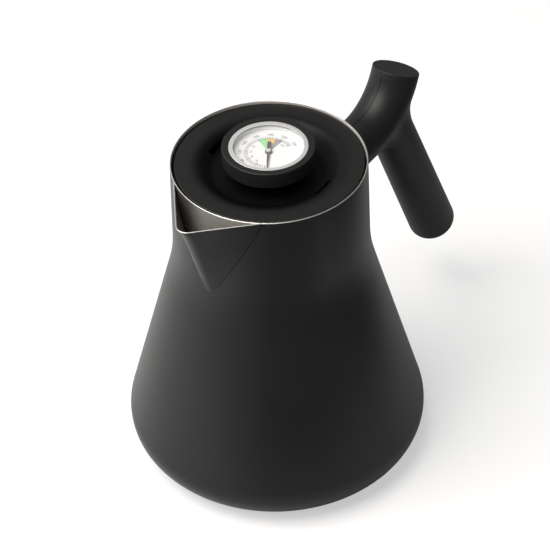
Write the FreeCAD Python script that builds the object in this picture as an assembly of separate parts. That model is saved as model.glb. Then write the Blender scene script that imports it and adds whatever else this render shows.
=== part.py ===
"""Stovetop pouring kettle with a strainer spout, a branch handle and a lid thermometer.

Millimetres, +Z up. The origin is the middle of the base on the table, the spout points
along -X and the handle along +X. Each piece is one solid in its own STEP file.
"""

import FreeCAD
import Part

import math
import os

Vec = FreeCAD.Vector
UP = Vec(0, 0, 1)
OUT = "parts"

# Body: outer sizes of the drawn steel wall, heights above the pan's flat underside
WALL = 0.6
RIM_RADIUS = 42.9
BODY_HEIGHT = 156.8
SHOULDER_RADIUS = 44.1
SHOULDER_HEIGHT = 108.0
FOOT_RADIUS = 74.5
SHOULDER_BLEND = 88.0
HEEL_RADIUS = 14.2

# Capsule base under the pan
DISC_RADIUS = 51.0
DISC_THICKNESS = 1.8
COVER_SHEET = 0.6
COVER_EDGE = 1.0
BOND_GAP = 0.02

# Spout: a V trough welded over the strainer holes
SPOUT_TIP_RADIUS = 5.0
SPOUT_SPREAD = 34.5
SPOUT_DEPTH = 46.0
SPOUT_BOW = 1.25
SPOUT_LEVELS = 16
SPOUT_RIDGE = [(0.0, 16.8), (12.0, 12.3), (27.0, 7.8), (38.0, 4.3), (45.0, -0.4), (51.0, -7.0)]

# Strainer: rows of holes punched through the neck behind the spout, the first below the rim
STRAINER_TOP = 14.5
STRAINER_PITCH = 6.1
STRAINER_HOLE = 2.0
STRAINER_MARGIN = 1.6
WELD_GAP = 0.05

# Handle: three round arms whose axes meet at the fork, in the plane y = 0
ARM_RADIUS = 11.1
ARM_BEND = 32.0
FORK_X = 85.4
FORK_BELOW_RIM = 27.6
STEM_RISE = 6.0
STUB_LEAN = 22.0
STUB_STRAIGHT = 1.7
GRIP_LEAN = 24.8
GRIP_LENGTH = 103.9
GRIP_TOP_RADIUS = 10.6
GRIP_END_RADIUS = 11.8
GRIP_END_ROUND = 5.0
CROTCH_OUTER_BLEND = 30.0
CROTCH_UNDER_BLEND = 8.0
STEM_SEAT_GAP = 0.2

# Handle fixing: a welded tang in the stem, one screw down the stub, a cap over it
TANG_RADIUS = 5.0
TANG_PAST_FORK = 5.5
BRACKET_RADIUS = 8.5
BRACKET_PLATE = 3.4
SLIDE_GAP = 0.15
CAP_THICKNESS = 2.2
CAP_SPIGOT = 3.5
CAP_EDGE = 0.5
WELL_RADIUS = 6.0
SCREW_RADIUS = 2.5
SCREW_HEAD_RADIUS = 4.25
SCREW_HEAD = 4.4
SCREW_HEX = 2.2
SCREW_BITE = 4.0
SCREW_GAP = 0.1
SEAT_ABOVE_TANG = 3.0
WASHER_RADIUS = 5.2
WASHER_THICKNESS = 1.0

# Lid: heights measured from the lid's flat border, which lies a little below the rim
LID_BELOW_RIM = 0.9
LID_GAP = 1.05
LID_SHEET = 1.4
LID_EDGE = 0.6
DISH_RADIUS = 31.5
DISH_FLOOR_RADIUS = 25.3
DISH_DEPTH = 4.8
DISH_BRIM_ROUND = 6.0
DISH_FLOOR_ROUND = 3.5
SKIRT_DEPTH = 10.0
SKIRT_INSET = 2.2
VENT_RADIUS = 27.6
VENT_WIDTH = 2.0
VENT_ARC = 23.0
LID_TURN = 5.0
GASKET_HEIGHT = 4.5
GASKET_LIP = 0.9
GASKET_WALL_GAP = 0.25
GASKET_ABOVE_SKIRT_END = 1.6

# Knob: the finger ring that carries the thermometer
KNOB_RADIUS = 20.3
KNOB_TOP_ABOVE_RIM = 7.9
KNOB_RING = 7.6
KNOB_EDGE = 0.5
KNOB_NECK_RADIUS = 13.0
KNOB_SEAL = 0.8
KNOB_SEAL_INSET = 1.5

# Thermometer, heights measured down from the knob's top
CASE_RADIUS = 16.6
CASE_SHEET = 0.5
CASE_SEAT = 1.2
CASE_GAP = 0.1
BEZEL_SHEET = 0.6
BEZEL_LIP = 1.2
BEZEL_BELOW_TOP = 0.2
LENS_THICKNESS = 1.2
LENS_SEAL = 0.5
DIAL_BELOW_LENS = 1.9
DIAL_SHEET = 0.4
DIAL_HOLE = 1.6
SHANK_RADIUS = 4.0
SHANK_END_BELOW_NUT = 1.2
STEM_TUBE_RADIUS = 3.0
STEM_BORE = 2.4
PROBE_BELOW_RIM = 92.0
NUT_ACROSS_FLATS = 14.0
NUT_HEIGHT = 4.0
THREAD_GAP = 0.05
LID_WASHER_RADIUS = 8.5
LID_WASHER = 1.0
BUSH_COLLAR = 1.5
BUSH_LENGTH = 6.0
BUSH_PROUD = 0.25
SHAFT_RADIUS = 0.6
SHAFT_CLEARANCE = 0.05
POINTER_SHEET = 0.35
POINTER_LIFT = 0.35
POINTER_LENGTH = 12.4
POINTER_ROOT = 1.3
POINTER_TIP = 0.35
POINTER_TAIL = 6.6
POINTER_TAIL_WIDTH = 1.7
POINTER_EYE = 1.5
HUB_RADIUS = 1.1
HUB_HEIGHT = 0.6
DIAL_START = 210.0
COIL_RADIUS = 1.5
COIL_WIRE = 0.35
COIL_PITCH = 2.0
COIL_TURNS = 14
COIL_ABOVE_TIP = 2.0
COIL_TO_SHAFT = 0.5

# Places worked out from the sizes above
PAN_Z = DISC_THICKNESS + COVER_SHEET
RIM_Z = PAN_Z + BODY_HEIGHT
SHOULDER_Z = PAN_Z + SHOULDER_HEIGHT
NECK_LEAN = math.atan2(SHOULDER_RADIUS - RIM_RADIUS, RIM_Z - SHOULDER_Z)
CONE_LEAN = math.atan2(FOOT_RADIUS - SHOULDER_RADIUS, SHOULDER_HEIGHT)
MOUTH_RADIUS = RIM_RADIUS - WALL / math.cos(NECK_LEAN)
HEEL_INSET = HEEL_RADIUS * (1 + math.sin(CONE_LEAN)) / math.cos(CONE_LEAN)
HEEL_CENTRE = (FOOT_RADIUS - HEEL_INSET, PAN_Z + HEEL_RADIUS)

FORK = Vec(FORK_X, 0, RIM_Z - FORK_BELOW_RIM)
STEM_WAY = Vec(math.cos(math.radians(STEM_RISE)), 0, math.sin(math.radians(STEM_RISE)))
STUB_WAY = Vec(math.sin(math.radians(STUB_LEAN)), 0, math.cos(math.radians(STUB_LEAN)))
GRIP_WAY = Vec(math.sin(math.radians(GRIP_LEAN)), 0, -math.cos(math.radians(GRIP_LEAN)))
STEM_ROOT = FORK - STEM_WAY * (FORK_X / STEM_WAY.x)
BEND_REACH = ARM_BEND * math.tan(STEM_WAY.getAngle(STUB_WAY) / 2)
STUB_END = FORK + STUB_WAY * (BEND_REACH + STUB_STRAIGHT)
BEND_MIDDLE = FORK + (STUB_WAY - STEM_WAY).normalize() * (math.hypot(ARM_BEND, BEND_REACH) - ARM_BEND)
GRIP_ROOT = (FORK - BEND_MIDDLE).dot(GRIP_WAY)

LID_Z = RIM_Z - LID_BELOW_RIM
LID_RADIUS = MOUTH_RADIUS - LID_GAP
SKIRT_RADIUS = LID_RADIUS - SKIRT_INSET
DISH_Z = LID_Z - DISH_DEPTH
KNOB_Z = RIM_Z + KNOB_TOP_ABOVE_RIM
KNOB_UNDER_Z = KNOB_Z - KNOB_RING
BEZEL_Z = KNOB_Z - BEZEL_BELOW_TOP
LENS_Z = BEZEL_Z - BEZEL_SHEET
DIAL_Z = LENS_Z - LENS_THICKNESS - DIAL_BELOW_LENS
CASE_FLOOR_Z = DIAL_Z - DIAL_SHEET - CASE_SEAT
CASE_UNDER_Z = CASE_FLOOR_Z - CASE_SHEET
BEZEL_RADIUS = CASE_RADIUS + CASE_GAP + BEZEL_SHEET
WASHER_Z = DISH_Z - LID_SHEET
NUT_Z = WASHER_Z - LID_WASHER
SHANK_END_Z = NUT_Z - NUT_HEIGHT - SHANK_END_BELOW_NUT
PROBE_Z = RIM_Z - PROBE_BELOW_RIM
POINTER_Z = DIAL_Z + BUSH_PROUD + POINTER_LIFT
COIL_Z = PROBE_Z + (STEM_TUBE_RADIUS - STEM_BORE) + COIL_ABOVE_TIP
SHAFT_END_Z = COIL_Z + COIL_TURNS * COIL_PITCH + COIL_WIRE + COIL_TO_SHAFT


# Drawing helpers: profiles are lists of (radius, height) in the plane y = 0
def at(point):
    return Vec(point[0], 0, point[1])


def line(a, b):
    return Part.LineSegment(at(a), at(b)).toShape()


def arc(a, middle, b):
    return Part.Arc(at(a), at(middle), at(b)).toShape()


def polar(centre, radius, angle):
    """The point at an angle, in radians from the radius axis, on a circle of the profile plane."""
    return (centre[0] + radius * math.cos(angle), centre[1] + radius * math.sin(angle))


def arc_about(centre, radius, start, end):
    return arc(*(polar(centre, radius, angle) for angle in (start, (start + end) / 2, end)))


def revolve(edges):
    face = Part.Face(Part.Wire(Part.__sortEdges__(edges)))
    return face.revolve(Vec(0, 0, 0), UP, 360)


def turned(points):
    """A solid of revolution with straight edges between its profile points."""
    closed = points + points[:1]
    return revolve([line(a, b) for a, b in zip(closed, closed[1:]) if math.dist(a, b) > 1e-9])


def ring(inner, outer, low, high):
    if inner <= 0:
        return Part.makeCylinder(outer, high - low, Vec(0, 0, low))
    return turned([(inner, low), (outer, low), (outer, high), (inner, high)])


def prism(outline, way):
    return Part.Face(Part.makePolygon(outline + outline[:1])).extrude(way)


def rounded_corner(a, corner, b, radius):
    """The two tangent points and the middle of the arc that rounds a profile corner."""
    to_a = (at(a) - at(corner)).normalize()
    to_b = (at(b) - at(corner)).normalize()
    half = to_a.getAngle(to_b) / 2
    start = at(corner) + to_a * (radius / math.tan(half))
    end = at(corner) + to_b * (radius / math.tan(half))
    inward = (to_a + to_b).normalize()
    middle = at(corner) + inward * (radius / math.sin(half) - radius)
    return start, middle, end


def rounded_path(points, radii):
    """Edges through profile points, each inner corner rounded to its radius."""
    edges = []
    here = at(points[0])
    for before, corner, after, radius in zip(points, points[1:], points[2:], radii):
        start, middle, end = rounded_corner(before, corner, after, radius)
        edges.append(Part.LineSegment(here, start).toShape())
        edges.append(Part.Arc(start, middle, end).toShape())
        here = end
    edges.append(Part.LineSegment(here, at(points[-1])).toShape())
    return edges


def lid_piece(shape):
    """A piece of the lid, turned with it in the mouth."""
    return shape.rotated(Vec(0, 0, 0), UP, LID_TURN)


# Body
def neck_radius(height):
    """Outer radius of the neck's straight side at a height."""
    return RIM_RADIUS + (RIM_Z - height) * math.tan(NECK_LEAN)


def mouth_radius(height):
    """Inner radius of the neck's straight side at a height."""
    return neck_radius(height) - WALL / math.cos(NECK_LEAN)


def shoulder_arc():
    """Centre of the shoulder's hollow curve and its two end angles."""
    reach = SHOULDER_BLEND * math.tan((CONE_LEAN - NECK_LEAN) / 2)
    top = (SHOULDER_RADIUS - reach * math.sin(NECK_LEAN), SHOULDER_Z + reach * math.cos(NECK_LEAN))
    return polar(top, SHOULDER_BLEND, NECK_LEAN), NECK_LEAN + math.pi, CONE_LEAN + math.pi


def side_edges(inset):
    """The wall's side, from just under the rim to the weld at the heel, set in from the outside."""
    centre, start, end = shoulder_arc()
    blend = SHOULDER_BLEND + inset
    rim = (RIM_RADIUS + WALL / 2 * math.tan(NECK_LEAN) - inset / math.cos(NECK_LEAN), RIM_Z - WALL / 2)
    weld = polar(HEEL_CENTRE, HEEL_RADIUS - inset, CONE_LEAN)
    edges = [line(rim, polar(centre, blend, start)), arc_about(centre, blend, start, end)]
    edges.append(line(polar(centre, blend, end), weld))
    return edges, rim, weld


def body_envelope(grow):
    """The body as a filled solid, grown by a gap, used to trim what meets its outside."""
    edges, rim, weld = side_edges(-grow)
    top = RIM_Z + BODY_HEIGHT
    corners = [rim, (rim[0], top), (0, top), (0, weld[1]), weld]
    return revolve(edges + [line(a, b) for a, b in zip(corners, corners[1:])])


def strainer_holes():
    """Round punches through the neck, in staggered rows that fill the V between the spout's creases."""
    row_step = STRAINER_PITCH * math.sin(math.radians(60))
    holes = []
    for row in range(int((SPOUT_DEPTH - STRAINER_TOP) / row_step) + 1):
        drop = STRAINER_TOP + row * row_step
        height = RIM_Z - drop
        half_width = neck_radius(height) * math.sin(spout_crease(drop))
        room = half_width - WALL - STRAINER_MARGIN - STRAINER_HOLE / 2
        reach = int(half_width / STRAINER_PITCH) + 1
        for k in range(-reach, reach + 1):
            y = (k + 0.5 * (row % 2)) * STRAINER_PITCH
            if abs(y) <= room:
                punch = Part.makeCylinder(STRAINER_HOLE / 2, 2 * RIM_RADIUS, Vec(0, y, height), Vec(-1, 0, 0))
                holes.append(punch)
    return Part.makeCompound(holes)


def body_shell():
    outer, rim_out, weld_out = side_edges(0)
    inner, rim_in, weld_in = side_edges(WALL)
    lip = arc(rim_out, ((rim_out[0] + rim_in[0]) / 2, RIM_Z), rim_in)
    shell = revolve(outer + inner + [lip, line(weld_out, weld_in)])
    return shell.cut(strainer_holes())


def base_pan():
    bottom_angle = -math.pi / 2
    inner = HEEL_RADIUS - WALL
    flat_out = polar(HEEL_CENTRE, HEEL_RADIUS, bottom_angle)
    flat_in = polar(HEEL_CENTRE, inner, bottom_angle)
    edges = [arc_about(HEEL_CENTRE, HEEL_RADIUS, CONE_LEAN, bottom_angle)]
    edges.append(arc_about(HEEL_CENTRE, inner, CONE_LEAN, bottom_angle))
    edges.append(line(polar(HEEL_CENTRE, HEEL_RADIUS, CONE_LEAN), polar(HEEL_CENTRE, inner, CONE_LEAN)))
    corners = [flat_out, (0, PAN_Z), (0, PAN_Z + WALL), flat_in]
    return revolve(edges + [line(a, b) for a, b in zip(corners, corners[1:])])


def heat_disc():
    return ring(0, DISC_RADIUS, COVER_SHEET, PAN_Z - BOND_GAP)


def base_cover():
    outer = DISC_RADIUS + BOND_GAP + COVER_SHEET
    cup = Part.makeCylinder(outer, PAN_Z - BOND_GAP)
    foot = [e for e in cup.Edges if e.BoundBox.ZMax < BOND_GAP and e.Closed]
    cup = cup.makeFillet(COVER_EDGE, foot)
    return cup.cut(ring(0, DISC_RADIUS + BOND_GAP, COVER_SHEET, PAN_Z))


# Spout
def spout_crease(drop):
    """Half the angle about the axis between the two creases where the V leaves the neck."""
    return math.radians(SPOUT_SPREAD) * max(0, 1 - (drop / SPOUT_DEPTH) ** SPOUT_BOW)


def spout_levels():
    """Drop, ridge and half the V's angle at each level: the sides run from the crease to the tip."""
    ridge = Part.BSplineCurve()
    ridge.interpolate([Vec(drop, stand, 0) for drop, stand in SPOUT_RIDGE])
    levels = []
    for place in ridge.discretize(SPOUT_LEVELS):
        drop, stand = place.x, place.y
        radius = neck_radius(RIM_Z - drop)
        across = radius + stand - SPOUT_TIP_RADIUS - radius * math.cos(spout_crease(drop))
        aside = radius * math.sin(spout_crease(drop))
        gap = math.hypot(across, aside)
        if stand > 0 and gap > SPOUT_TIP_RADIUS:
            half = math.atan2(aside, across) - math.asin(SPOUT_TIP_RADIUS / gap)
        levels.append((drop, stand, half))
    return levels


def spout_section(drop, stand, half, inset):
    """One level outline of the spout: a round tip, two straight sides and a back inside the body."""
    height = RIM_Z - drop
    centre = neck_radius(height) + stand - SPOUT_TIP_RADIUS
    radius = SPOUT_TIP_RADIUS - inset
    side = centre * math.sin(half) + radius
    touch = Vec(-(centre + radius * math.sin(half)), radius * math.cos(half), height)
    root = Vec(-side * math.sin(half), side * math.cos(half), height)
    tip = Vec(-(centre + radius), 0, height)
    touch_low, root_low = Vec(touch.x, -touch.y, height), Vec(root.x, -root.y, height)
    return Part.Wire([
        Part.LineSegment(root, touch).toShape(),
        Part.Arc(touch, tip, touch_low).toShape(),
        Part.LineSegment(touch_low, root_low).toShape(),
        Part.LineSegment(root_low, root).toShape(),
    ])


def spout_loft(inset):
    return Part.makeLoft([spout_section(*level, inset) for level in spout_levels()], True, True)


def spout():
    trough = spout_loft(0).cut(spout_loft(WALL))
    return trough.cut(body_envelope(0))


# Handle
def rod(start, way, radius, length):
    return Part.makeCylinder(radius, length, start, way)


def handle_arm():
    """The stem and the stub as one round bar, bent at the fork."""
    bend_in, bend_out = FORK - STEM_WAY * BEND_REACH, FORK + STUB_WAY * BEND_REACH
    path = Part.Wire([
        Part.LineSegment(STEM_ROOT, bend_in).toShape(),
        Part.Arc(bend_in, BEND_MIDDLE, bend_out).toShape(),
        Part.LineSegment(bend_out, STUB_END).toShape(),
    ])
    section = Part.Wire(Part.makeCircle(ARM_RADIUS, STEM_ROOT, STEM_WAY))
    return path.makePipeShell([section], True, False)


def handle_grip():
    """The straight grip, a little thicker at its rounded end, with its root inside the bend."""
    start = FORK - GRIP_WAY * GRIP_ROOT
    end = FORK + GRIP_WAY * GRIP_LENGTH
    grip = Part.makeCone(GRIP_TOP_RADIUS, GRIP_END_RADIUS, GRIP_LENGTH + GRIP_ROOT, start, GRIP_WAY)
    end_edges = [e for e in grip.Edges if e.Closed and (e.CenterOfMass - end).Length < GRIP_END_ROUND]
    return grip.makeFillet(GRIP_END_ROUND, end_edges)


def handle_blank():
    """Half of the joined bars, blended widely outside the fork and tighter under it, then mirrored."""
    bars = handle_arm().fuse(handle_grip()).removeSplitter()
    reach = 2 * (FORK.Length + GRIP_LENGTH)
    half = bars.common(Part.makeBox(reach, reach, reach, Vec(-reach / 2, 0, -reach / 2)))
    crotch = [e for e in half.Edges if is_crotch(e)]
    from_outside = crotch[0].valueAt(crotch[0].FirstParameter).x > FORK_X
    blends = (CROTCH_OUTER_BLEND, CROTCH_UNDER_BLEND)
    half = half.makeFillet(*(blends if from_outside else blends[::-1]), crotch)
    return half.fuse(half.mirror(Vec(0, 0, 0), Vec(0, 1, 0))).removeSplitter()


def is_crotch(edge):
    """True for the edge where the grip runs into the bend: it goes round the grip's side, near the fork."""
    if edge.BoundBox.YLength < GRIP_TOP_RADIUS / 2:
        return False
    middle = edge.valueAt((edge.FirstParameter + edge.LastParameter) / 2)
    along = (middle - FORK).dot(GRIP_WAY)
    aside = (middle - FORK - GRIP_WAY * along).Length
    taper = (GRIP_END_RADIUS - GRIP_TOP_RADIUS) / (GRIP_LENGTH + GRIP_ROOT)
    return abs(aside - GRIP_TOP_RADIUS - taper * (along + GRIP_ROOT)) < 0.01 and along < GRIP_LENGTH / 2


def stem_rod(radius, end):
    """A round bar on the stem's axis, from the kettle's axis to a distance along it."""
    return rod(STEM_ROOT, STEM_WAY, radius, end)


def tang_end():
    return (FORK - STEM_ROOT).Length + TANG_PAST_FORK


def bracket_face():
    """Distance of the bracket plate's outer face along the stem's axis."""
    return (neck_radius(STEM_ROOT.z) + BRACKET_PLATE) / STEM_WAY.x


def screw_seat():
    """Height of the screw's shoulder above the fork, along the stub."""
    return TANG_RADIUS + SEAT_ABOVE_TANG


def handle():
    blank = handle_blank().cut(body_envelope(STEM_SEAT_GAP))
    blank = blank.cut(stem_rod(BRACKET_RADIUS + SLIDE_GAP, bracket_face() + SLIDE_GAP))
    blank = blank.cut(stem_rod(TANG_RADIUS + SLIDE_GAP, tang_end() + SLIDE_GAP))
    well = rod(FORK + STUB_WAY * screw_seat(), STUB_WAY, WELL_RADIUS, ARM_BEND)
    shank = rod(FORK, STUB_WAY, SCREW_RADIUS + SCREW_GAP, ARM_BEND)
    return blank.cut(well).cut(shank)


def handle_bracket():
    bracket = stem_rod(BRACKET_RADIUS, bracket_face()).fuse(stem_rod(TANG_RADIUS, tang_end()))
    tapped = rod(FORK - STUB_WAY * TANG_RADIUS * 2, STUB_WAY, SCREW_RADIUS + SCREW_GAP, TANG_RADIUS * 4)
    return bracket.removeSplitter().cut(body_envelope(0)).cut(tapped)


def handle_washer():
    base = FORK + STUB_WAY * screw_seat()
    outer = rod(base, STUB_WAY, WASHER_RADIUS, WASHER_THICKNESS)
    return outer.cut(rod(base, STUB_WAY, SCREW_RADIUS + SCREW_GAP, WASHER_THICKNESS))


def handle_screw():
    under_head = FORK + STUB_WAY * (screw_seat() + WASHER_THICKNESS)
    head = rod(under_head, STUB_WAY, SCREW_HEAD_RADIUS, SCREW_HEAD)
    shank_length = SEAT_ABOVE_TANG + WASHER_THICKNESS + TANG_RADIUS + SCREW_BITE
    shank = rod(under_head - STUB_WAY * shank_length, STUB_WAY, SCREW_RADIUS, shank_length)
    socket = hexagon(SCREW_HEX, Vec(0, 0, 0)).extrude(UP * SCREW_HEAD)
    along_stub = FreeCAD.Rotation(UP, STUB_WAY)
    socket.Placement = FreeCAD.Placement(under_head + STUB_WAY * (SCREW_HEAD / 2), along_stub)
    return head.fuse(shank).removeSplitter().cut(socket)


def handle_cap():
    disc = rod(STUB_END, STUB_WAY, ARM_RADIUS, CAP_THICKNESS)
    top = STUB_END + STUB_WAY * CAP_THICKNESS
    rim = [e for e in disc.Edges if e.Closed and (e.CenterOfMass - top).Length < CAP_EDGE]
    disc = disc.makeFillet(CAP_EDGE, rim)
    spigot = rod(STUB_END - STUB_WAY * CAP_SPIGOT, STUB_WAY, WELL_RADIUS - SLIDE_GAP, CAP_SPIGOT + CAP_EDGE)
    return disc.fuse(spigot).removeSplitter()


def hexagon(half_flats, centre):
    corner = half_flats / math.cos(math.pi / 6)
    turns = [k * math.pi / 3 for k in range(6)]
    points = [centre + Vec(corner * math.cos(turn), corner * math.sin(turn), 0) for turn in turns]
    return Part.Face(Part.makePolygon(points + points[:1]))


# Lid
def dish_edges(lower):
    """The lid's top line, or the same line lowered through its sheet."""
    brim, floor = LID_Z - lower, DISH_Z - lower
    shift = lower * math.tan(math.atan2(DISH_DEPTH, DISH_RADIUS - DISH_FLOOR_RADIUS) / 2)
    points = [(LID_RADIUS, brim), (DISH_RADIUS - shift, brim)]
    points += [(DISH_FLOOR_RADIUS - shift, floor), (SHANK_RADIUS + CASE_GAP, floor)]
    return rounded_path(points, [DISH_BRIM_ROUND - lower, DISH_FLOOR_ROUND + lower]), points


def lid_cover():
    top, top_points = dish_edges(0)
    under, under_points = dish_edges(LID_SHEET)
    sides = [line(top_points[0], under_points[0]), line(top_points[-1], under_points[-1])]
    lid = revolve(top + under + sides)
    brim = [e for e in lid.Edges if e.Closed and abs(e.BoundBox.XMax - LID_RADIUS) < 0.01]
    lid = lid.makeFillet(LID_EDGE, [e for e in brim if abs(e.BoundBox.ZMax - LID_Z) < 0.01])
    for side in (90, 270):
        lid = lid.cut(vent_slot(side))
    return lid_piece(lid)


def vent_slot(angle):
    """A short curved slot cut straight down through the dish's slope."""
    inner = VENT_RADIUS - VENT_WIDTH / 2
    outer = VENT_RADIUS + VENT_WIDTH / 2
    low = DISH_Z - 2 * LID_SHEET
    corners = [at(p) for p in ((inner, low), (outer, low), (outer, LID_Z), (inner, LID_Z))]
    slot = Part.Face(Part.makePolygon(corners + corners[:1])).revolve(Vec(0, 0, 0), UP, VENT_ARC)
    return slot.rotated(Vec(0, 0, 0), UP, angle - VENT_ARC / 2)


def lid_skirt():
    """The ring welded under the lid's border, which steadies the lid in the mouth."""
    return lid_piece(ring(SKIRT_RADIUS - LID_SHEET, SKIRT_RADIUS, LID_Z - SKIRT_DEPTH, LID_Z - LID_SHEET))


def lid_gasket():
    """A silicone ring round the skirt, with two thin lips sized to the narrowest place on the way out."""
    low = LID_Z - SKIRT_DEPTH + GASKET_ABOVE_SKIRT_END
    high = low + GASKET_HEIGHT
    inner = SKIRT_RADIUS + WELD_GAP
    outer = min(MOUTH_RADIUS, mouth_radius(low)) - GASKET_WALL_GAP
    root = (inner + outer) / 2
    profile = [(inner, high), (inner, low)]
    for start in (low, high - 2 * GASKET_LIP):
        profile += [(root, start), (outer, start + GASKET_LIP), (outer, start + 1.5 * GASKET_LIP)]
        profile.append((root, start + 2 * GASKET_LIP))
    return lid_piece(turned(profile))


def knob():
    """The finger ring: a thick disc, hollowed for the thermometer's case."""
    cavity = BEZEL_RADIUS + CASE_GAP
    floor = CASE_UNDER_Z - CASE_GAP
    bore = SHANK_RADIUS + CASE_GAP
    rim = [(KNOB_RADIUS, KNOB_UNDER_Z), (KNOB_RADIUS, KNOB_Z), (cavity, KNOB_Z)]
    body = turned([(bore, KNOB_UNDER_Z)] + rim + [(cavity, floor), (bore, floor)])
    outside = [e for e in body.Edges if e.Closed and abs(e.BoundBox.XMax - KNOB_RADIUS) < 0.01]
    return lid_piece(body.makeFillet(KNOB_EDGE, outside))


def knob_neck():
    """The narrow spacer that lifts the finger ring off the dish."""
    return lid_piece(ring(SHANK_RADIUS + CASE_GAP, KNOB_NECK_RADIUS, DISH_Z + KNOB_SEAL, KNOB_UNDER_Z))


def knob_seal():
    outer = KNOB_NECK_RADIUS - KNOB_SEAL_INSET
    return lid_piece(ring(SHANK_RADIUS + CASE_GAP, outer, DISH_Z, DISH_Z + KNOB_SEAL))


def lid_washer():
    return lid_piece(ring(SHANK_RADIUS + CASE_GAP, LID_WASHER_RADIUS, WASHER_Z - LID_WASHER, WASHER_Z))


def lid_nut():
    low = NUT_Z - NUT_HEIGHT
    nut = hexagon(NUT_ACROSS_FLATS / 2, UP * low).extrude(UP * NUT_HEIGHT)
    return lid_piece(nut.cut(ring(0, SHANK_RADIUS + THREAD_GAP, low, NUT_Z)))


# Thermometer
def thermometer_case():
    """A shallow cup with a step inside that the dial rests on."""
    inner = CASE_RADIUS - CASE_SHEET
    seat = inner - CASE_SEAT
    lip = LENS_Z - LENS_THICKNESS - LENS_SEAL
    bore = SHANK_RADIUS
    return lid_piece(turned([
        (bore, CASE_UNDER_Z), (CASE_RADIUS, CASE_UNDER_Z), (CASE_RADIUS, lip), (inner, lip),
        (inner, DIAL_Z - DIAL_SHEET), (seat, DIAL_Z - DIAL_SHEET), (seat, CASE_FLOOR_Z), (bore, CASE_FLOOR_Z),
    ]))


def bezel():
    """The crimped ring that holds the lens on the case."""
    inner = BEZEL_RADIUS - BEZEL_SHEET
    lip = CASE_RADIUS - BEZEL_LIP
    outside = [(inner, CASE_FLOOR_Z), (BEZEL_RADIUS, CASE_FLOOR_Z), (BEZEL_RADIUS, BEZEL_Z)]
    body = turned(outside + [(lip, BEZEL_Z), (lip, LENS_Z), (inner, LENS_Z)])
    top = [e for e in body.Edges if e.Closed and e.BoundBox.ZMin > LENS_Z and e.Length > 2 * math.pi * inner]
    return lid_piece(body.makeFillet(BEZEL_SHEET / 2, top))


def lens():
    return lid_piece(ring(0, CASE_RADIUS, LENS_Z - LENS_THICKNESS, LENS_Z))


def lens_seal():
    low = LENS_Z - LENS_THICKNESS - LENS_SEAL
    return lid_piece(ring(CASE_RADIUS - CASE_SHEET, CASE_RADIUS, low, low + LENS_SEAL))


def dial_plate():
    return lid_piece(ring(DIAL_HOLE, CASE_RADIUS - CASE_SHEET - CASE_GAP, DIAL_Z - DIAL_SHEET, DIAL_Z))


def thermometer_stem():
    """The threaded shank and the long probe, drilled from the top to just above the closed tip."""
    tip_centre = (0, PROBE_Z + STEM_TUBE_RADIUS)
    edges = [line((STEM_BORE, CASE_FLOOR_Z), (SHANK_RADIUS, CASE_FLOOR_Z))]
    edges.append(line((SHANK_RADIUS, CASE_FLOOR_Z), (SHANK_RADIUS, SHANK_END_Z)))
    edges.append(line((SHANK_RADIUS, SHANK_END_Z), (STEM_TUBE_RADIUS, SHANK_END_Z)))
    edges.append(line((STEM_TUBE_RADIUS, SHANK_END_Z), (STEM_TUBE_RADIUS, tip_centre[1])))
    edges.append(arc_about(tip_centre, STEM_TUBE_RADIUS, 0, -math.pi / 2))
    edges.append(line((0, PROBE_Z), (0, tip_centre[1] - STEM_BORE)))
    edges.append(arc_about(tip_centre, STEM_BORE, -math.pi / 2, 0))
    edges.append(line((STEM_BORE, tip_centre[1]), (STEM_BORE, CASE_FLOOR_Z)))
    return lid_piece(revolve(edges))


def shaft_bush():
    """A brass guide in the top of the stem; its collar shows through the dial's hole."""
    bore = SHAFT_RADIUS + SHAFT_CLEARANCE
    collar_top = DIAL_Z + BUSH_PROUD
    flange_z = CASE_FLOOR_Z
    body = STEM_BORE - BOND_GAP
    return lid_piece(turned([
        (bore, flange_z - BUSH_LENGTH), (body, flange_z - BUSH_LENGTH), (body, flange_z),
        (BUSH_COLLAR, flange_z), (BUSH_COLLAR, collar_top), (bore, collar_top),
    ]))


def bimetal_coil():
    """The wound strip that turns the shaft, as a round wire wound by its pitch."""
    helix = Part.makeHelix(COIL_PITCH, COIL_TURNS * COIL_PITCH, COIL_RADIUS)
    start = Vec(COIL_RADIUS, 0, 0)
    rise = COIL_PITCH / (2 * math.pi)
    section = Part.Wire(Part.makeCircle(COIL_WIRE, start, Vec(0, COIL_RADIUS, rise)))
    coil = Part.Wire(helix.Edges).makePipeShell([section], True, True)
    return lid_piece(coil.translated(Vec(0, 0, COIL_Z)))


# Pointer, drawn along +X and then turned to the dial's first mark
def pointer_piece(shape):
    return lid_piece(shape.rotated(Vec(0, 0, 0), UP, DIAL_START))


def pointer():
    lift = UP * POINTER_SHEET
    needle = [Vec(0, -POINTER_ROOT / 2, POINTER_Z), Vec(POINTER_LENGTH, -POINTER_TIP / 2, POINTER_Z),
              Vec(POINTER_LENGTH, POINTER_TIP / 2, POINTER_Z), Vec(0, POINTER_ROOT / 2, POINTER_Z)]
    half = POINTER_TAIL_WIDTH / 2
    tail = [Vec(-POINTER_TAIL, -half, POINTER_Z), Vec(0, -half, POINTER_Z), Vec(0, half, POINTER_Z),
            Vec(-POINTER_TAIL, half, POINTER_Z)]
    eye = Part.makeCylinder(POINTER_EYE, POINTER_SHEET, Vec(0, 0, POINTER_Z))
    body = eye.fuse([prism(needle, lift), prism(tail, lift)]).removeSplitter()
    hole = Part.makeCylinder(SHAFT_RADIUS + BOND_GAP, POINTER_SHEET, Vec(0, 0, POINTER_Z))
    return pointer_piece(body.cut(hole))


def pointer_hub():
    base = POINTER_Z + POINTER_SHEET
    hub = Part.makeCylinder(HUB_RADIUS, HUB_HEIGHT, Vec(0, 0, base))
    top = [e for e in hub.Edges if e.Closed and e.BoundBox.ZMin > base]
    return pointer_piece(hub.makeFillet(HUB_HEIGHT / 3, top))


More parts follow.
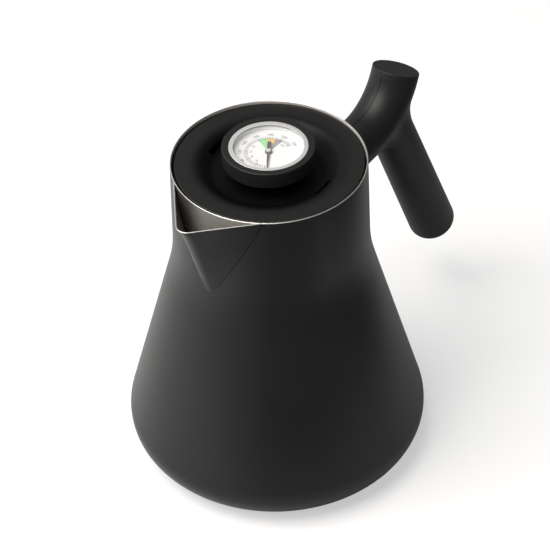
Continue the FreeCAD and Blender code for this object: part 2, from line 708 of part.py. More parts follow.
def pointer_shaft():
    return pointer_piece(ring(0, SHAFT_RADIUS, SHAFT_END_Z, POINTER_Z + POINTER_SHEET))


PIECES = [
    body_shell, base_pan, heat_disc, base_cover, spout,
    handle, handle_bracket, handle_washer, handle_screw, handle_cap,
    lid_cover, lid_skirt, lid_gasket, knob, knob_neck, knob_seal, lid_washer, lid_nut,
    thermometer_case, bezel, lens, lens_seal, dial_plate, thermometer_stem, shaft_bush, bimetal_coil,
    pointer, pointer_hub, pointer_shaft,
]


def main():
    os.makedirs(OUT, exist_ok=True)
    for make in PIECES:
        shape = make()
        solids = shape.Solids
        if not shape.isValid() or not solids:
            raise ValueError(make.__name__ + " is not a valid solid")
        piece = solids[0] if len(solids) == 1 else Part.makeCompound(solids)
        piece.exportStep(os.path.join(OUT, make.__name__ + ".step"))
        print("%-18s solids %d  volume %9.1f mm3  centre height %.1f" % (
            make.__name__, len(solids), piece.Volume, piece.CenterOfGravity.z))


main()
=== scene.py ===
# %% [markdown]
# # A stovetop pouring kettle
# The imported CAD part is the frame: every node is already in place, in metres, with +Z up,
# the spout towards -X and the handle towards +X. This lesson gives it the finishes of the
# real kettle, prints its dial and lights it as a product photograph does.

# %% Load the frame
import bmesh
import bpy
import math
from mathutils import Matrix, Vector


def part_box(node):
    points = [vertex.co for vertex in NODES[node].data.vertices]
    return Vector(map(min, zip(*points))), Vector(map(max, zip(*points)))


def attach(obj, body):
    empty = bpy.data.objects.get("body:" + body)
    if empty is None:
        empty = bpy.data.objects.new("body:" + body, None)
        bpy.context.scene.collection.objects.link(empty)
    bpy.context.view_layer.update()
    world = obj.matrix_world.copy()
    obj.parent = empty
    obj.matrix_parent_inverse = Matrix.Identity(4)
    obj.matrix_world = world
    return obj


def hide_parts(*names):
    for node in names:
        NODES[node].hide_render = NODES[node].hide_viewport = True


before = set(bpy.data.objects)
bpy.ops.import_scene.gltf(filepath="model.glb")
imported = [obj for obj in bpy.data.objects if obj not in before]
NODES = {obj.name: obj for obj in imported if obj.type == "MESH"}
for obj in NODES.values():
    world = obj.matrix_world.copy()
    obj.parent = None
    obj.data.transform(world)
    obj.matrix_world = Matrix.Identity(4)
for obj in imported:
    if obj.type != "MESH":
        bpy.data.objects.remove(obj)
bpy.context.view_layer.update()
MM = 0.001
RIM_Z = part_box("body_shell")[1].z


def placed(name, data):
    """A new object in the scene that holds the data."""
    made = bpy.data.objects.new(name, data)
    bpy.context.scene.collection.objects.link(made)
    return made


print("frame has", len(NODES), "nodes, rim at", round(RIM_Z / MM, 1), "mm")

# %% [markdown]
# ## Camera
# The photograph looks down on the spout's side from about 41 degrees, through a long lens.
# A few real measures place the camera: its position, the way that it looks and a small roll.

# %% Camera
CAMERA_PLACE = Vector((-0.5227, -0.4336, 0.6930))
CAMERA_AZIMUTH = math.radians(-50.4)
CAMERA_ELEVATION = math.radians(41.47)
CAMERA_ROLL = math.radians(-1.99)
CAMERA_LENS = 130.9

camera_data = bpy.data.cameras.new("photo_camera")
camera_data.lens = CAMERA_LENS
camera_data.sensor_width = 36
camera_data.clip_start = 0.01
camera = placed("photo_camera", camera_data)
turn = Matrix.Rotation(CAMERA_AZIMUTH, 4, "Z") @ Matrix.Rotation(math.pi / 2 - CAMERA_ELEVATION, 4, "X")
camera.matrix_world = Matrix.Translation(CAMERA_PLACE) @ turn @ Matrix.Rotation(CAMERA_ROLL, 4, "Z")
bpy.context.scene.camera = camera
bpy.context.scene.view_settings.view_transform = "Standard"
print("camera is", round((CAMERA_PLACE - Vector((0, 0, RIM_Z))).length, 2), "m from the rim")

# %% [markdown]
# ## Writing shaders as sums
# A finish is easier to read as an expression than as a web of nodes. A Wire is one node's
# output: the operators on it add Math nodes, its node method adds any other kind, and mix
# uses it as the share between two colours.

# %% Shader sums
class Wire:
    """One output of a node tree, which Python's operators can do sums with."""

    def __init__(self, tree, output=None):
        self.tree = tree
        self.output = output

    def node(self, kind, settings=None, sockets=None, out=0):
        """Adds a node: its settings first, then a value or a Wire for each of its sockets."""
        made = self.tree.nodes.new(kind)
        for name, value in (settings or {}).items():
            setattr(made, name, value)
        for name, value in (sockets or {}).items():
            if isinstance(value, Wire):
                self.tree.links.new(value.output, made.inputs[name])
            else:
                made.inputs[name].default_value = value
        return Wire(self.tree, made.outputs[out] if made.outputs else None)

    def maths(self, operation, *values):
        return self.node("ShaderNodeMath", {"operation": operation}, dict(enumerate(values)))

    def __add__(self, other):
        return self.maths("ADD", self, other)

    def __sub__(self, other):
        return self.maths("SUBTRACT", self, other)

    def __rsub__(self, other):
        return self.maths("SUBTRACT", other, self)

    def __mul__(self, other):
        return self.maths("MULTIPLY", self, other)

    def __truediv__(self, other):
        return self.maths("DIVIDE", self, other)

    def __pow__(self, other):
        return self.maths("POWER", self, other)

    def __abs__(self):
        return self.maths("ABSOLUTE", self)

    __radd__ = __add__
    __rmul__ = __mul__

    def mix(self, first, second):
        return self.node("ShaderNodeMix", {"data_type": "RGBA"}, {0: self, 6: first, 7: second}, out=2)

    def fade(self, low, high):
        """0 below low and 1 above high, with a soft step between."""
        settings = {"interpolation_type": "SMOOTHSTEP"}
        return self.node("ShaderNodeMapRange", settings, {"Value": self, "From Min": low, "From Max": high})

    def noise(self, scale, detail=2.0):
        sockets = {"Vector": self, "Scale": scale, "Detail": detail}
        return self.node("ShaderNodeTexNoise", None, sockets)

    def stretched(self, scale):
        return self.node("ShaderNodeVectorMath", {"operation": "MULTIPLY"}, {0: self, 1: scale})

    def axes(self):
        split = self.node("ShaderNodeSeparateXYZ", None, {0: self})
        outputs = split.output.node.outputs
        return [Wire(self.tree, output) for output in outputs]

    def off_axis(self):
        """How far a place lies from the upright axis."""
        x, y, _ = self.axes()
        return (x * x + y * y) ** 0.5

    def bump(self, strength, distance):
        sockets = {"Height": self, "Strength": strength, "Distance": distance}
        return self.node("ShaderNodeBump", None, sockets)


def finish(name, constants, recipe):
    """A material: constants go straight on the shader's sockets, the recipe's wires into theirs."""
    made = bpy.data.materials.new(name)
    made.use_nodes = True
    tree = made.node_tree
    shader = tree.nodes["Principled BSDF"]
    for socket, value in constants.items():
        shader.inputs[socket].default_value = value
    place = Wire(tree).node("ShaderNodeTexCoord", out="Object")
    for socket, wire in recipe(place).items():
        tree.links.new(wire.output, shader.inputs[socket])
    return made


def grey(level, warm=0.0):
    return (level * (1 + warm), level, level * (1 - warm), 1)


print("shader sums ready")

# %% [markdown]
# ## Black finishes
# The pot and lid have a matte powder coat, with a grain as fine as flour. The handle and the
# knob are moulded plastic from a spark-eroded mould, a little smoother, and the handle shows
# the hair line where the two halves of its mould met. All of them are near black, so most of
# what the eye sees is the soft gloss: the roughness matters more than the colour. Metallic
# takes the gloss off a black finish, which darkens the hair line and paints shade into the
# lid's dish round the knob.

# %% Black finishes
COAT_GLOSS = 0.3
COAT_GRAIN = 2600
COAT_BUMP = (0.18, 0.06 * MM)
LID_GLOSS = 0.42
# Painted shade in the lid's dish fades out between these two radii.
DISH_INNER = 28 * MM
DISH_OUTER = 37 * MM
MOULD_GRAIN = 4200
HAIR_LINE = (0.08 * MM, 0.32 * MM)


def powder_coat(gloss):
    def recipe(place):
        grain = place.noise(COAT_GRAIN)
        cloud = place.noise(22, 3)
        return {
            "Base Color": cloud.fade(0.3, 0.7).mix(grey(0.006), grey(0.008, 0.02)),
            "Roughness": gloss + 0.06 * cloud + 0.05 * grain,
            "Normal": grain.bump(*COAT_BUMP),
        }
    return recipe


def lid_coat(place):
    """The same coat, with its gloss taken off towards the knob: painted shade in the dish round it."""
    # Painted shade: the gloss goes off towards the knob.
    dish_shade = 1 - place.off_axis().fade(DISH_INNER, DISH_OUTER)
    return {**powder_coat(LID_GLOSS)(place), "Metallic": 0.85 * dish_shade}


def moulded(place):
    """The handle's plastic, with the mould's hair line along its middle plane."""
    grain = place.noise(MOULD_GRAIN)
    cloud = place.noise(35, 2)
    _, across, _ = place.axes()
    seam = 1 - abs(across).fade(*HAIR_LINE)
    return {
        "Base Color": (0.5 * seam + 0.5 * cloud).mix(grey(0.009), grey(0.006)),
        "Roughness": 0.42 + 0.06 * cloud + 0.08 * grain,
        "Metallic": 0.75 * seam,
        "Normal": (grain * 0.3 - seam).bump(0.35, 0.08 * MM),
    }


def knob_mould(place):
    grain = place.noise(MOULD_GRAIN)
    return {
        "Base Color": place.noise(60).mix(grey(0.008), grey(0.011)),
        "Roughness": 0.46 + 0.1 * grain,
        "Normal": grain.bump(0.15, 0.05 * MM),
    }


def soft_rubber(place):
    dust = place.noise(180, 4)
    return {
        "Base Color": dust.fade(0.5, 0.8).mix(grey(0.012), grey(0.022)),
        "Roughness": 0.66 + 0.14 * dust,
        "Normal": place.noise(1500).bump(0.12, 0.1 * MM),
    }


LOW_SHEEN = {"Specular IOR Level": 0.4}
RUBBER_SHEEN = {"Specular IOR Level": 0.25}
COAT = finish("black_powder_coat", LOW_SHEEN, powder_coat(COAT_GLOSS))
LID_COAT = finish("lid_powder_coat", LOW_SHEEN, lid_coat)
HANDLE_PLASTIC = finish("handle_moulding", LOW_SHEEN, moulded)
KNOB_PLASTIC = finish("knob_moulding", LOW_SHEEN, knob_mould)
SILICONE = finish("black_silicone", RUBBER_SHEEN, soft_rubber)
print("black finishes:", COAT.name, HANDLE_PLASTIC.name, KNOB_PLASTIC.name, SILICONE.name)

# %% [markdown]
# ## Bare metals
# Inside, the drawn steel is brushed round the pot, so its lines are long level streaks. The
# capsule base and the bezel are turned on a lathe, which leaves fine rings about the axis. Two
# recipes serve them all: streaks along a chosen direction, or rings, change the gloss and the
# tone a little, and a soft bump catches the light.

# %% Bare metals
METAL = {"Metallic": 1.0}
ROUND_THE_POT = (60, 60, 5200)
RING_SCALE = 3000
STEEL_COLOUR = (0.68, 0.66, 0.62)
STEEL_GLOSS = 0.32
# A painted reflection: a nearly white band on the inner wall just under the rim.
REFLECTION_BAND_COLOUR = (0.98, 0.95, 0.9)
MOUTH_BAND = 1.6 * MM
BAND_EDGE = 0.4 * MM


def brushed(colour, gloss, grain_scale, depth=0.72):
    """Streaks of a grain stretched along some axes; depth is the tone of the darkest streak."""
    def recipe(place):
        streak = place.stretched(grain_scale).noise(1, 4)
        stain = place.noise(40, 3)
        dark = [depth * part for part in colour]
        return {
            "Base Color": (0.7 * streak + 0.3 * stain).mix((*dark, 1), (*colour, 1)),
            "Roughness": gloss + 0.16 * streak + 0.08 * stain,
            "Normal": streak.bump(0.5, 0.1 * MM),
        }
    return recipe


def turned(colour, gloss):
    """Rings about the upright axis: noise read along the distance from it."""
    def recipe(place):
        sockets = {"W": place.off_axis(), "Scale": RING_SCALE}
        ring = place.node("ShaderNodeTexNoise", {"noise_dimensions": "1D"}, sockets)
        dark = [0.8 * part for part in colour]
        return {
            "Base Color": ring.mix((*dark, 1), (*colour, 1)),
            "Roughness": gloss + 0.15 * ring + 0.05 * place.noise(60),
            "Normal": ring.bump(0.2, 0.05 * MM),
        }
    return recipe


def mouth_steel(place):
    """Brushed steel that turns nearly white and satin in a band under the rim: a painted reflection on the
    inner wall above the lid.
    """
    _, _, z = place.axes()
    steel = brushed(STEEL_COLOUR, STEEL_GLOSS, ROUND_THE_POT)(place)
    # Painted reflection: the band under the rim.
    painted_reflection = (z - (RIM_Z - MOUTH_BAND)).fade(0, BAND_EDGE)
    return {
        "Base Color": painted_reflection.mix(steel["Base Color"], (*REFLECTION_BAND_COLOUR, 1)),
        "Roughness": steel["Roughness"] + 0.3 * painted_reflection,
        "Normal": steel["Normal"],
    }


MOUTH_STEEL = finish("mouth_steel", METAL, mouth_steel)
STEEL = finish("brushed_steel", METAL, brushed(STEEL_COLOUR, STEEL_GLOSS, ROUND_THE_POT))
LIP_STEEL = finish("lip_steel", METAL, brushed((0.94, 0.91, 0.86), 0.28, ROUND_THE_POT))
# A dark copy of the brushed steel: painted shade for the spout's inside wall.
SPOUT_SHADE_STEEL = finish("spout_shade_steel", METAL, brushed((0.22, 0.21, 0.19), 0.3, ROUND_THE_POT))
PROBE_STEEL = finish("probe_steel", METAL, brushed((0.6, 0.59, 0.57), 0.18, (2500, 2500, 90)))
BASE_STEEL = finish("turned_base_steel", METAL, turned((0.5, 0.49, 0.48), 0.28))
BEZEL_STEEL = finish("bezel_steel", METAL, turned((0.96, 0.96, 0.95), 0.5))
ZINC = finish("zinc_plate", METAL, brushed((0.5, 0.5, 0.5), 0.3, (900, 900, 900)))
ALUMINIUM = finish("milled_aluminium", METAL, turned((0.7, 0.7, 0.71), 0.3))
BRASS = finish("turned_brass", METAL, turned((0.72, 0.5, 0.2), 0.22))
BIMETAL = finish("wound_strip", METAL, brushed((0.52, 0.43, 0.34), 0.32, (800, 800, 2400)))
print("finishes so far:", len(bpy.data.materials))

# %% [markdown]
# ## Dial, pointer and glass
# The dial is white enamel and its print is thin ink. The pointer is dark satin paint, and the
# ring that carries the glass is pale. The glass is flat and clear: a mostly see-through surface
# that keeps its gloss lets the lamps reach the dial, as they do through real flat glass.

# %% Dial, pointer and glass
def enamel(colour, gloss):
    def recipe(place):
        orange_peel = place.noise(900)
        worn = [0.93 * part for part in colour]
        return {
            "Base Color": place.noise(260, 3).mix((*worn, 1), (*colour, 1)),
            "Roughness": gloss + 0.1 * orange_peel,
            "Normal": orange_peel.bump(0.05, 0.03 * MM),
        }
    return recipe


def pale_rubber(place):
    return {
        "Base Color": place.noise(180, 4).mix(grey(0.62), grey(0.7)),
        "Roughness": 0.6 + 0.1 * place.noise(900),
    }


def clear_glass(place):
    smear = place.noise(70, 4)
    return {
        "Roughness": 0.02 + 0.06 * smear.fade(0.55, 0.8),
        "Alpha": 0.05 + 0.03 * smear,
        "Base Color": smear.mix((0.93, 0.95, 0.95, 1), (0.98, 0.99, 0.99, 1)),
    }


DIAL_WHITE = finish("dial_enamel", {}, enamel((0.86, 0.86, 0.85), 0.4))
POINTER_PAINT = finish("pointer_paint", {}, enamel((0.02, 0.02, 0.022), 0.45))
WHITE_SEAL = finish("white_seal", {}, pale_rubber)
GLASS = finish("flat_glass", {"IOR": 1.5}, clear_glass)
INK_GLOSS = 0.5
INK_COLOURS = {
    "grey_ink": (0.06, 0.06, 0.065),
    "green_ink": (0.29, 0.7, 0.3),
    "gold_ink": (0.9, 0.57, 0.13),
    "slate_ink": (0.29, 0.29, 0.31),
}
INKS = {name: finish(name, {}, enamel(colour, INK_GLOSS)) for name, colour in INK_COLOURS.items()}
print("inks:", ", ".join(INKS))

# %% [markdown]
# ## Finishes on the CAD nodes
# Most CAD nodes already have the right shape, so each only gets its finish in its material
# slot. Pieces with two finishes come next.

# %% Finishes on the CAD nodes
NODE_FINISHES = {
    "heat_disc": ALUMINIUM,
    "base_cover": BASE_STEEL,
    "handle_bracket": STEEL,
    "handle_washer": ZINC,
    "handle_screw": ZINC,
    "handle_cap": KNOB_PLASTIC,
    "lid_cover": LID_COAT,
    "lid_skirt": COAT,
    "lid_gasket": SILICONE,
    "knob": KNOB_PLASTIC,
    "knob_neck": KNOB_PLASTIC,
    "knob_seal": SILICONE,
    "lid_washer": SILICONE,
    "lid_nut": ZINC,
    # The case takes the dial's white, a painted reflection for its inner wall, which then throws more light
    # onto the dial.
    "thermometer_case": DIAL_WHITE,
    "bezel": BEZEL_STEEL,
    "lens": GLASS,
    "lens_seal": WHITE_SEAL,
    "dial_plate": DIAL_WHITE,
    "thermometer_stem": PROBE_STEEL,
    "shaft_bush": BRASS,
    "bimetal_coil": BIMETAL,
    "pointer": POINTER_PAINT,
    "pointer_hub": BEZEL_STEEL,
    "pointer_shaft": PROBE_STEEL,
}
for node, material in NODE_FINISHES.items():
    NODES[node].data.materials.clear()
    NODES[node].data.materials.append(material)
print("finished", len(NODE_FINISHES), "of", len(NODES), "nodes in place")

# %% [markdown]
# ## Bare steel in the throat
# The neck's wall behind the spout, with its strainer holes, looks outwards as the rest of the
# pot does, but it is bare. Cutting the mesh along the spout's two creases would do, but a mask
# is simpler: it narrows downwards by the same law as the creases, ends under the spout's own
# wall, and turns the coat's colour, gloss and grain to those of brushed steel. The far side of
# the throat is painted darker as shade. A thin line of less gloss follows each crease: partly
# the dark joint where the spout meets the neck, partly painted shade in the crease.

# %% Bare steel in the throat
THROAT_SPREAD = math.radians(34.5)
THROAT_DEPTH = 47.7 * MM
THROAT_BOW = 1.1
THROAT_MARGIN = math.radians(1.0)
THROAT_EDGE = math.radians(0.4)
THROAT_GRAIN = (40, 40, 1600)
THROAT_COLOUR = (0.95, 0.93, 0.87)
THROAT_GLOSS = 0.54
STREAK_DEPTH = 0.4
# Painted shade on the far side of the throat: its colour, and the turn over which it fades in.
THROAT_SHADE_COLOUR = (0.2, 0.19, 0.17)
THROAT_SHADE_TURN = (math.radians(-18), 0)
CREASE_WIDTH = math.radians(0.8)
CREASE_SHIFT = 0.3 * CREASE_WIDTH
STEADY_BELOW = 40 * MM
STEADY_EDGE = 2 * MM


def crease_turn(drop):
    """How far round from the spout's middle its creases are, for a drop as a number or a Wire."""
    return THROAT_SPREAD * (1 - (drop / THROAT_DEPTH) ** THROAT_BOW)


def pot_coat(place):
    """The powder coat, left off the neck's wall where the spout covers it."""
    x, y, z = place.axes()
    turn = y.maths("ARCTAN2", y * -1, x * -1)
    beside = abs(turn)
    crease = crease_turn(RIM_Z - z)
    above = (z - (RIM_Z - STEADY_BELOW)).fade(-STEADY_EDGE, STEADY_EDGE)
    bare = (crease - THROAT_MARGIN - beside).fade(0, THROAT_EDGE) * above
    # A thin line of less gloss just outside each crease: partly the dark joint of the spout, partly painted
    # shade.
    line = (1 - abs(beside - crease - CREASE_SHIFT).fade(0, CREASE_WIDTH)) * above
    coat = powder_coat(COAT_GLOSS)(place)
    steel = brushed(THROAT_COLOUR, THROAT_GLOSS, THROAT_GRAIN, STREAK_DEPTH)(place)
    # Painted shade: the throat's steel turns dark towards its far side.
    far_shaded_steel = turn.fade(*THROAT_SHADE_TURN).mix((*THROAT_SHADE_COLOUR, 1), steel["Base Color"])
    grain, streak = place.noise(COAT_GRAIN), place.stretched(THROAT_GRAIN).noise(1, 4)
    return {
        "Base Color": bare.mix(coat["Base Color"], far_shaded_steel),
        "Roughness": coat["Roughness"] + bare * (steel["Roughness"] - coat["Roughness"]),
        "Metallic": bare + 0.8 * line,
        "Normal": (grain + bare * (3 * streak - grain)).bump(*COAT_BUMP),
    }


POT_COAT = finish("pot_powder_coat", LOW_SHEEN, pot_coat)
print("throat is", round(2 * math.degrees(THROAT_SPREAD)), "degrees wide at the rim")

# %% [markdown]
# ## Coated outside, bare inside
# The pot and its pan are sprayed black on the outside only. Their inside and the cut edge
# round the mouth stay bare steel, which is the bright line in the photograph. A copy of each
# node's mesh takes three materials, and each face chooses by where it looks: away from the
# axis is coated, towards it is bare, and the narrow lip at the top is bright.

# %% Coated outside, bare inside
LIP_DEPTH = 0.35 * MM
MERGE = 0.002 * MM
COPY_SHARP = math.radians(28)


def smooth_copy(node, name):
    """A copy of a CAD node's mesh with its loose triangles merged and its creases kept."""
    mesh = NODES[node].data.copy()
    mesh.name = name
    work = bmesh.new()
    work.from_mesh(mesh)
    bmesh.ops.remove_doubles(work, verts=work.verts, dist=MERGE)
    work.to_mesh(mesh)
    work.free()
    mesh.set_sharp_from_angle(angle=COPY_SHARP)
    return placed(name, mesh)


def coat_outside(node, name, coat, inside):
    """Steel on the lip, the inside finish on faces that look at the axis, coat elsewhere."""
    made = smooth_copy(node, name)
    made.data.materials.clear()
    for material in (coat, inside, LIP_STEEL):
        made.data.materials.append(material)
    for face in made.data.polygons:
        outward = face.center - Vector((0, 0, face.center.z))
        on_lip = face.center.z > RIM_Z - LIP_DEPTH
        face.material_index = 2 if on_lip else int(face.normal.dot(outward) < 0)
    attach(made, "kettle")
    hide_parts(node)
    bare = sum(face.material_index > 0 for face in made.data.polygons)
    print(name, "has", bare, "bare faces of", len(made.data.polygons))


coat_outside("body_shell", "pot_wall", POT_COAT, MOUTH_STEEL)
coat_outside("base_pan", "pot_pan", COAT, STEEL)

# %% [markdown]
# ## Ridge and pot profile
# The spout is a V with a round ridge that bows back into the neck. The CAD spout is a loft of
# a few levels, whose facets a render would show, so a smoother one replaces it. Two curves are
# needed first. The ridge is a list of pairs in millimetres: the drop below the rim, and how far
# the ridge stands out from the neck there. The pot's own profile is read from its mesh.

# %% Ridge and pot profile
LIP_RIDGE = [(-6, 21.0), (0, 16.8), (6, 13.4), (12, 10.9), (24, 6.8), (36, 2.9), (44.5, 0.2), (52, -2.2)]


def between(table, place):
    """A smooth curve through a table of pairs, read at one place."""
    k = max(1, min(len(table) - 3, sum(pair[0] <= place for pair in table) - 1))
    (x0, y0), (x1, y1), (x2, y2), (x3, y3) = table[k - 1:k + 3]
    rise_in, rise_out = (y2 - y0) / (x2 - x0), (y3 - y1) / (x3 - x1)
    span = x2 - x1
    t = (place - x1) / span
    ends = (1 + 2 * t) * (1 - t) ** 2 * y1 + t * t * (3 - 2 * t) * y2
    return ends + span * t * (1 - t) * ((1 - t) * rise_in - t * rise_out)


def outer_profile(mesh):
    """Height and radius of each ring of a turned wall's outside, from the bottom up."""
    rings = {}
    for face in mesh.polygons:
        if face.center.x > 0 and face.normal.x * face.center.x + face.normal.y * face.center.y > 0:
            for index in face.vertices:
                place = mesh.vertices[index].co
                rings[round(place.z, 7)] = math.hypot(place.x, place.y)
    return sorted(rings.items())


POT_PROFILE = outer_profile(NODES["body_shell"].data)


def pot_radius(height):
    """Outer radius of the pot at a height, along its straight facets."""
    k = max(1, min(len(POT_PROFILE) - 1, sum(pair[0] < height for pair in POT_PROFILE)))
    (low, inner), (high, outer) = POT_PROFILE[k - 1:k + 1]
    return inner + (outer - inner) * (height - low) / (high - low)


def ridge_stand(drop):
    return between(LIP_RIDGE, drop / MM) * MM


print("pot profile has", len(POT_PROFILE), "rings")
print("ridge stands out", round(ridge_stand(0) / MM, 1), "mm at the rim")

# %% [markdown]
# ## Level outlines of the spout
# Each level of the spout is an outline: a round tip, then a straight side that touches it and
# runs back to the pot's wall, where it ends inside the wall's thickness. The V's angle at each
# level follows from the tip and the crease. Far down the V is too small for that sum, so the
# angle is held steady there.

# %% Level outlines of the spout
LIP_RADIUS = 5.0 * MM
LIP_BURIED = 0.25 * MM
LIP_STEPS = 60
SIDE_STEP = 0.5 * MM
SIDE_EXACT = 0.002 * MM
NECK_RADIUS = 42.9 * MM
NECK_SLOPE = 0.02459


def neck_radius(drop):
    return NECK_RADIUS + drop * NECK_SLOPE


def lip_half_angle(drop):
    """Half the V's angle: its sides touch the round tip and meet the neck at the creases."""
    drop = min(drop, STEADY_BELOW)
    neck, crease = neck_radius(drop), crease_turn(drop)
    across = neck + ridge_stand(drop) - LIP_RADIUS - neck * math.cos(crease)
    aside = neck * math.sin(crease)
    return math.atan2(aside, across) - math.asin(LIP_RADIUS / math.hypot(across, aside))


def half_outline(drop, inset):
    """Level points from the middle of the tip back along one side to inside the pot's wall."""
    height = RIM_Z - drop
    half, radius = lip_half_angle(drop), LIP_RADIUS - inset
    centre = neck_radius(drop) + ridge_stand(drop) - LIP_RADIUS
    bend = (math.pi / 2 - half) * radius
    wall = pot_radius(height) - LIP_BURIED

    def point(run):
        turn = min(run, bend) / radius
        past = max(0, run - bend)
        out = centre + radius * math.cos(turn) - past * math.cos(half)
        return Vector((-out, radius * math.sin(turn) + past * math.sin(half), height))

    far = SIDE_STEP
    while point(far).xy.length > wall:
        far += SIDE_STEP
    near = far - SIDE_STEP
    while far - near > SIDE_EXACT:
        middle = (near + far) / 2
        inside = point(middle).xy.length < wall
        near, far = (near, middle) if inside else (middle, far)
    return [point(near * k / LIP_STEPS) for k in range(LIP_STEPS + 1)]


print("the V opens", round(2 * math.degrees(lip_half_angle(0))), "degrees at the rim")

# %% [markdown]
# ## Pouring lip
# The spout's two sheets are rows of such outlines, outside and one wall inside. The levels
# crowd together towards the bottom, which gives the V its soft end. A half-round bead of bare
# steel joins the sheets along the lip, and narrow strips close the edges inside the pot's wall.

# %% Pouring lip
LIP_WALL = 0.6 * MM
LIP_LEVELS = 110
LEVEL_CROWDING = 1.6
LIP_BEAD = 0.3 * MM
BEAD_STEPS = 6
END_SEARCH = (30 * MM, 0.1 * MM)
END_WIDTH = 0.05 * MM
LIP_MERGE = 0.01 * MM
LIP_SHARP = math.radians(50)


def lip_end(inset):
    """The drop at which the ridge sinks into the pot's wall."""
    drop, step = END_SEARCH
    while half_outline(drop, inset)[-1].y > END_WIDTH:
        drop += step
    return drop


def strip(work, first, second, slot):
    """A row of quads between two rows of points."""
    for a, b, c, d in zip(first, first[1:], second[1:], second):
        work.faces.new((a, b, c, d)).material_index = slot


def lip_sheet(work, inset, slot):
    """One face of the spout as a grid of quads; returns its outlines, top first."""
    end = lip_end(inset)
    rows = []
    for level in range(LIP_LEVELS + 1):
        share = 1 - (1 - level / LIP_LEVELS) ** LEVEL_CROWDING
        side = half_outline(LIP_BEAD + (end - LIP_BEAD) * share, inset)
        outline = [Vector((p.x, -p.y, p.z)) for p in reversed(side[1:])] + side
        rows.append([work.verts.new(p) for p in outline])
    for upper, lower in zip(rows, rows[1:]):
        strip(work, upper, lower, slot)
    return rows


def lip_bead(work, first, second, slot):
    """A half-round bead from the outer sheet's top row over to the inner one's."""
    rows = [first]
    for k in range(1, BEAD_STEPS):
        turn = math.pi * k / BEAD_STEPS
        share = (1 - math.cos(turn)) / 2
        lift = Vector((0, 0, LIP_BEAD * math.sin(turn)))
        rows.append([work.verts.new(a.co.lerp(b.co, share) + lift) for a, b in zip(first, second)])
    rows.append(second)
    for upper, lower in zip(rows, rows[1:]):
        strip(work, upper, lower, slot)
    for end in (0, -1):
        work.faces.new([row[end] for row in rows]).material_index = slot


work = bmesh.new()
outer, inner = lip_sheet(work, 0, 0), lip_sheet(work, LIP_WALL, 1)
lip_bead(work, outer[0], inner[0], 2)
for end in (0, -1):
    strip(work, [row[end] for row in outer], [row[end] for row in inner], 0)
strip(work, outer[-1], inner[-1], 0)
bmesh.ops.remove_doubles(work, verts=work.verts, dist=LIP_MERGE)
bmesh.ops.recalc_face_normals(work, faces=work.faces)
for face in work.faces:
    face.smooth = True
lip_mesh = bpy.data.meshes.new("pouring_lip")
work.to_mesh(lip_mesh)
work.free()
lip_mesh.set_sharp_from_angle(angle=LIP_SHARP)
# The inner sheet takes the dark steel, which is painted shade.
for material in (COAT, SPOUT_SHADE_STEEL, LIP_STEEL):
    lip_mesh.materials.append(material)
lip = placed("pouring_lip", lip_mesh)
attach(lip, "kettle")
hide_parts("spout")
print("pouring lip has", len(lip_mesh.polygons), "faces")
print("pouring lip ends", round(lip_end(0) / MM, 1), "mm below the rim")

# %% [markdown]
# ## A fork without creases
# The handle is one moulding, and its three arms flow into each other. A copy of the CAD handle
# gets a new, even skin, and rounds of smoothing then relax it about the fork. Each round
# reaches a little less far, so that the softness fades out along the arms. The stub then grows
# a little into its cap, because the new skin also rounds the stub's end.

# %% Handle with a soft fork
SKIN = 0.45 * MM
FORK = Vector((85.4, 0, 131.6)) * MM
FORK_REACH = 20 * MM
FORK_ROUNDS = 90
CAP_SEAT = 0.9 * MM
CAP_PLATE = 2.2 * MM


def even_skin(made, size):
    """Rebuilds an object's mesh as even faces of about one size."""
    skin = made.modifiers.new("skin", "REMESH")
    skin.mode = "VOXEL"
    skin.voxel_size = size
    mesh = bpy.data.meshes.new_from_object(made.evaluated_get(bpy.context.evaluated_depsgraph_get()))
    made.modifiers.remove(skin)
    made.data = mesh


def relax(mesh, middle, reach, rounds):
    """Rounds of smoothing about a point; the last round reaches half as far as the first."""
    work = bmesh.new()
    work.from_mesh(mesh)
    far = [(vert, (vert.co - middle).length) for vert in work.verts]
    for k in range(rounds):
        near = [vert for vert, away in far if away < reach * (1 - 0.5 * k / rounds)]
        bmesh.ops.smooth_vert(work, verts=near, factor=0.5, use_axis_x=True, use_axis_y=True, use_axis_z=True)
    for face in work.faces:
        face.smooth = True
    work.to_mesh(mesh)
    work.free()


def seat_under_cap(mesh):
    """Lengthens the stub a little, so that its softened end is out of sight inside the cap."""
    low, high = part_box("handle_cap")
    way = ((Vector(low) + Vector(high)) / 2 - FORK).normalized()
    joint = max(way.dot(vert.co) for vert in NODES["handle_cap"].data.vertices) - CAP_PLATE
    for vert in mesh.vertices:
        vert.co += way * CAP_SEAT * max(0, min(1, 1 + (way.dot(vert.co) - joint) / CAP_SEAT))


handle = smooth_copy("handle", "handle_moulding")
even_skin(handle, SKIN)
relax(handle.data, FORK, FORK_REACH, FORK_ROUNDS)
seat_under_cap(handle.data)
handle.data.materials.clear()
handle.data.materials.append(HANDLE_PLASTIC)
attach(handle, "kettle")
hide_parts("handle")
print("handle skin has", len(handle.data.polygons), "faces")

# %% [markdown]
# ## Tree of scale marks
# The scale has a mark every six degrees of a 240 degree sweep, longer at each number. The
# marks repeat round an arc, so a Geometry Nodes tree makes them: a row of points is bent
# round the arc and each point carries one thin bar.

# %% Tree of scale marks
def geometry_tree(name, inputs):
    """An empty Geometry Nodes tree with named inputs and the wires that carry them."""
    tree = bpy.data.node_groups.new(name, "GeometryNodeTree")
    tree.interface.new_socket("Geometry", in_out="OUTPUT", socket_type="NodeSocketGeometry")
    for label, kind in inputs.items():
        tree.interface.new_socket(label, in_out="INPUT", socket_type=kind)
    group = tree.nodes.new("NodeGroupInput")
    return tree, {label: Wire(tree, group.outputs[label]) for label in inputs}


